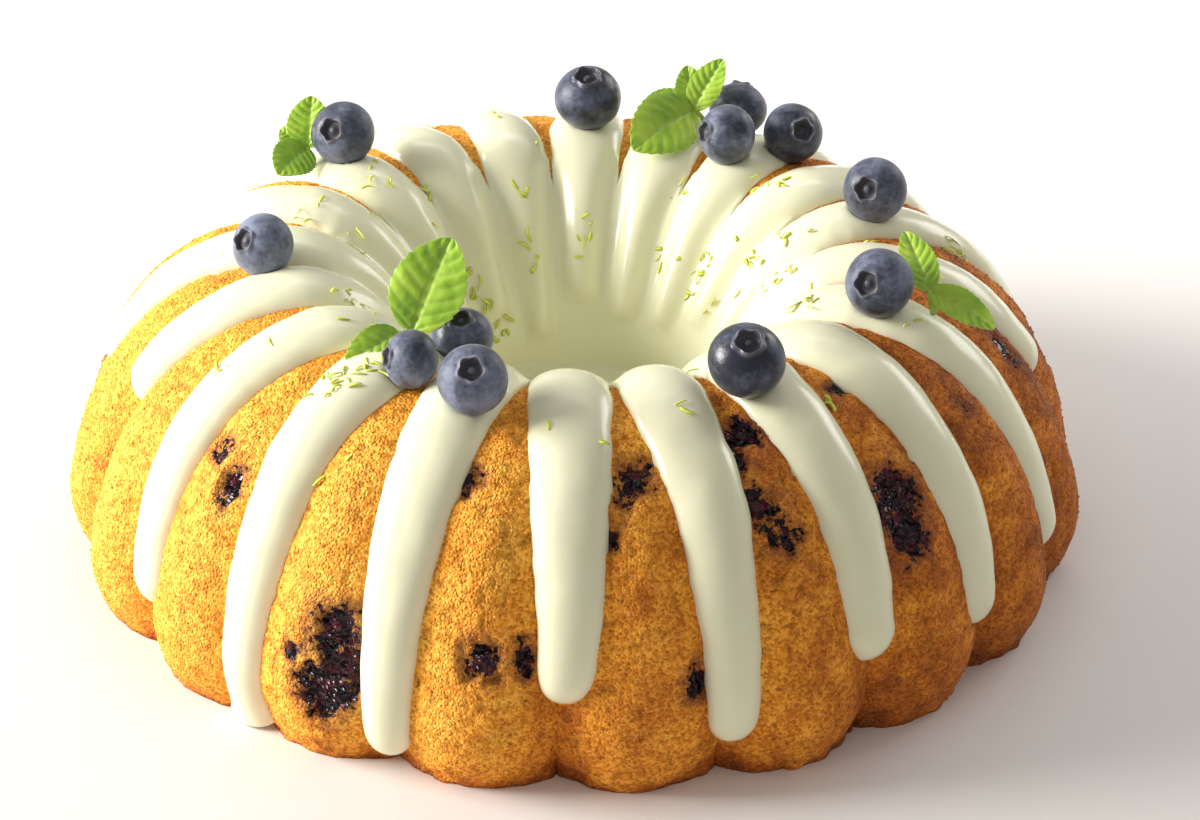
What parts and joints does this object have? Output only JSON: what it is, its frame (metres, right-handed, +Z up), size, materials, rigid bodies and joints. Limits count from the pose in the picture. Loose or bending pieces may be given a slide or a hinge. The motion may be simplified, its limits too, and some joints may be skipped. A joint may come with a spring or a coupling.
{
  "type": "iced blueberry ring cake",
  "caption": "Fluted ring cake with cream icing running down its valleys and filling its hollow, topped with blueberries and mint.",
  "frame": {"origin": "middle of the flat underside, at the bottom centre of the box", "axes": "+Z up along the ring's axis, -Y towards the side that faces the viewer"},
  "size_m": [0.2466, 0.2456, 0.0927],
  "materials": {
    "crust": "matt golden baked crumb",
    "icing": "glossy cream",
    "blueberry": "dusty bloom",
    "mint": "satin leaf"
  },
  "bodies": {
    "root": {"cake": "crust", "icing": "icing", "blueberry_front_left": "blueberry", "blueberry_front_rear": "blueberry", "blueberry_front_near": "blueberry", "blueberry_front_right": "blueberry", "blueberry_right": "blueberry", "blueberry_right_rear": "blueberry", "blueberry_rear_near": "blueberry", "blueberry_rear_far": "blueberry", "blueberry_rear_right": "blueberry", "blueberry_rear": "blueberry", "blueberry_left_rear": "blueberry", "blueberry_left": "blueberry", "mint_leaf_front_tall": "mint", "mint_leaf_front_low": "mint", "mint_sprig_left_rear": "mint", "mint_sprig_rear": "mint", "mint_sprig_right": "mint"}
  },
  "joints": []
}
